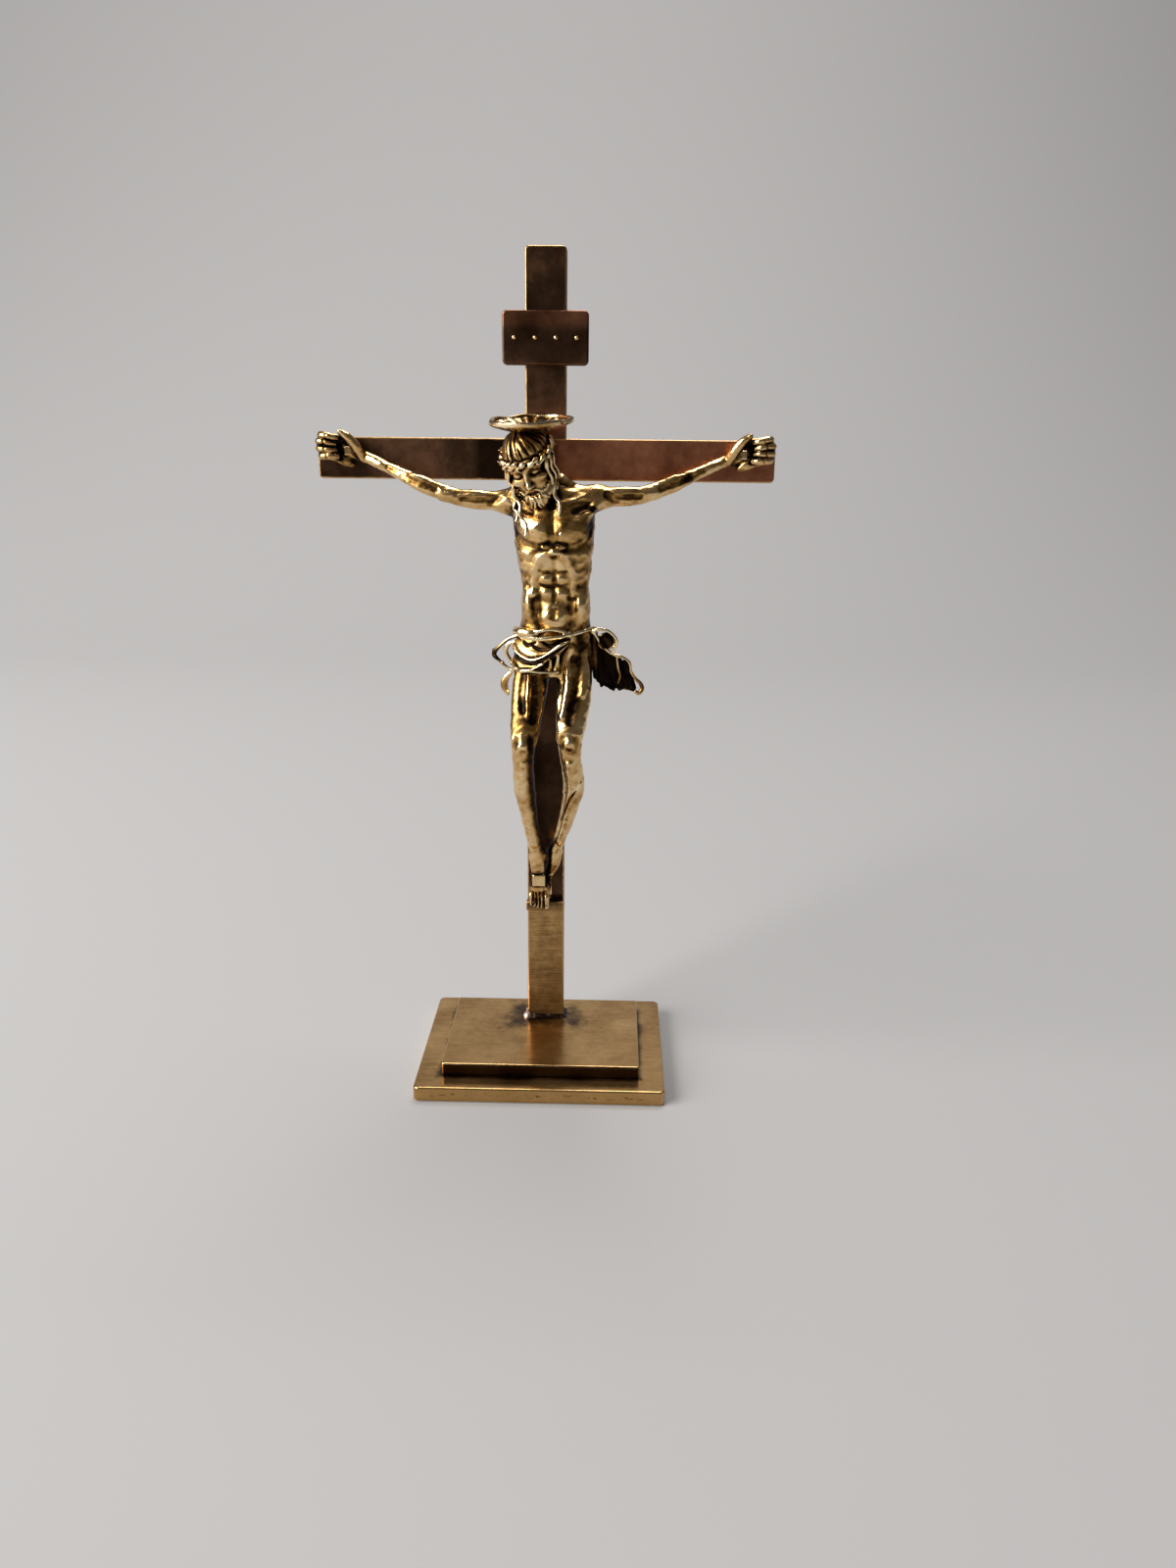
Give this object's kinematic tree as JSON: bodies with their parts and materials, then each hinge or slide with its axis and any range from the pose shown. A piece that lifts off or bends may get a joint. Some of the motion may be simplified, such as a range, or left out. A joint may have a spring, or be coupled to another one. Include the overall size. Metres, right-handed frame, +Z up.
{
  "type": "standing crucifix",
  "caption": "Brass crucifix that stands on a stepped plate base, with a cast figure, footrest, title plaque and dished halo on a cross of flat bar.",
  "frame": {"origin": "middle of the underside of the base", "axes": "+Z up along the post, the figure faces -Y, +X to the viewer's right"},
  "size_m": [0.1134, 0.0508, 0.2095],
  "materials": {
    "bar_brass": "flat bar, brown patina, rubbed edges",
    "plate_brass": "brushed plate, worn, streaky patina",
    "cast_brass": "cast, polished on the high places, dark in the hollows",
    "filler": "filler metal with scorch",
    "pin_brass": "drawn rod, filed flush"
  },
  "bodies": {
    "root": {"base_slab": "plate_brass", "base_step": "plate_brass", "post": "bar_brass", "crossbeam": "bar_brass", "title_plaque": "bar_brass", "footrest": "bar_brass", "post_braze": "filler", "lap_rivet": "pin_brass", "title_pins": "pin_brass", "footrest_pin": "pin_brass", "shoulder_dowels": "pin_brass", "halo_peg": "pin_brass", "foot_nail": "cast_brass", "right_hand_nail": "cast_brass", "left_hand_nail": "cast_brass", "corpus_body": "cast_brass", "right_arm": "cast_brass", "left_arm": "cast_brass", "loincloth": "cast_brass", "girdle": "cast_brass", "hip_drape": "cast_brass", "hip_knot": "cast_brass", "side_loop": "cast_brass", "halo": "cast_brass"}
  },
  "joints": []
}
